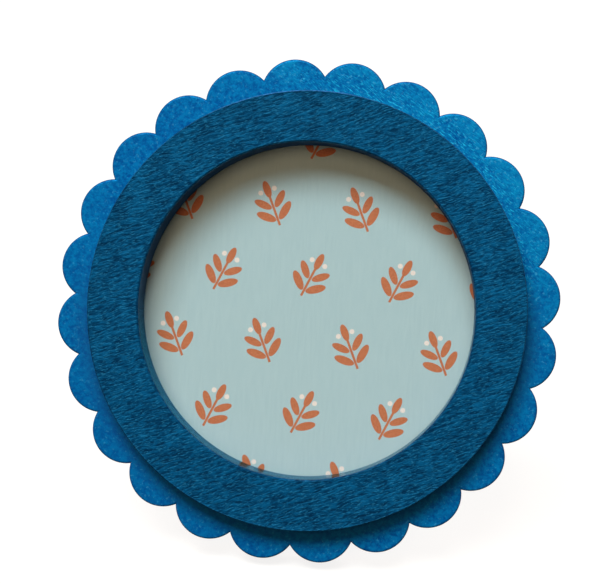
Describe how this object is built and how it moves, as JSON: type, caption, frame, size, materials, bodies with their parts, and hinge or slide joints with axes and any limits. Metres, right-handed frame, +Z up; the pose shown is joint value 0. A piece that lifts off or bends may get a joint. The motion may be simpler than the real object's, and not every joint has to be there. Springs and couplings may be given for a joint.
{
  "type": "photo frame",
  "caption": "Round table photo frame: scalloped pearl plate, raised grained ring, glazed round window, insert card held by turn buttons, and a folding easel leg.",
  "frame": {"origin": "on the table, at the middle of the object's bounding box", "axes": "+X to the right of a viewer in front, +Y from the face to the back, +Z up from the table"},
  "size_m": [0.151, 0.0654, 0.1468],
  "materials": {
    "pearl_resin": "moulded resin with pearl blue paint",
    "grained_resin": "moulded resin with a wood-like grain, satin teal blue",
    "glazing": "clear, ground edge",
    "printed_card": "matt print on thin card",
    "black_velour_board": "hardboard covered with black velour paper",
    "plated_steel": "bright zinc plate"
  },
  "bodies": {
    "frame": {"scalloped_base": "pearl_resin", "front_ring": "grained_resin", "glass_pane": "glazing", "photo_card": "printed_card", "backing_board": "black_velour_board", "turn_button_screw_1": "plated_steel", "turn_button_screw_2": "plated_steel", "turn_button_screw_3": "plated_steel", "turn_button_screw_4": "plated_steel", "hinge_board_leaf": "plated_steel", "hinge_pin": "plated_steel", "board_rivet_1": "plated_steel", "board_rivet_2": "plated_steel"},
    "easel": {"easel_leg": "black_velour_board", "hinge_leg_leaf": "plated_steel", "leg_rivet_1": "plated_steel", "leg_rivet_2": "plated_steel"},
    "turn_button_1": {"turn_button_1": "plated_steel"},
    "turn_button_2": {"turn_button_2": "plated_steel"},
    "turn_button_3": {"turn_button_3": "plated_steel"},
    "turn_button_4": {"turn_button_4": "plated_steel"}
  },
  "joints": [
    {"name": "easel_fold", "type": "hinge", "parent": "frame", "child": "easel", "pos_m": [0, 0.01514, 0.09475], "axis": [-1, 0, 0], "range_deg": [0, 28]},
    {"name": "turn_button_1_turn", "type": "hinge", "parent": "frame", "child": "turn_button_1", "pos_m": [0.04384, 0.01915, 0.11326], "axis": [0, 0.9511, -0.309], "continuous": true},
    {"name": "turn_button_2_turn", "type": "hinge", "parent": "frame", "child": "turn_button_2", "pos_m": [-0.04384, 0.01915, 0.11326], "axis": [0, 0.9511, -0.309], "continuous": true},
    {"name": "turn_button_3_turn", "type": "hinge", "parent": "frame", "child": "turn_button_3", "pos_m": [-0.04384, -0.00794, 0.02987], "axis": [0, 0.9511, -0.309], "continuous": true},
    {"name": "turn_button_4_turn", "type": "hinge", "parent": "frame", "child": "turn_button_4", "pos_m": [0.04384, -0.00794, 0.02987], "axis": [0, 0.9511, -0.309], "continuous": true}
  ]
}
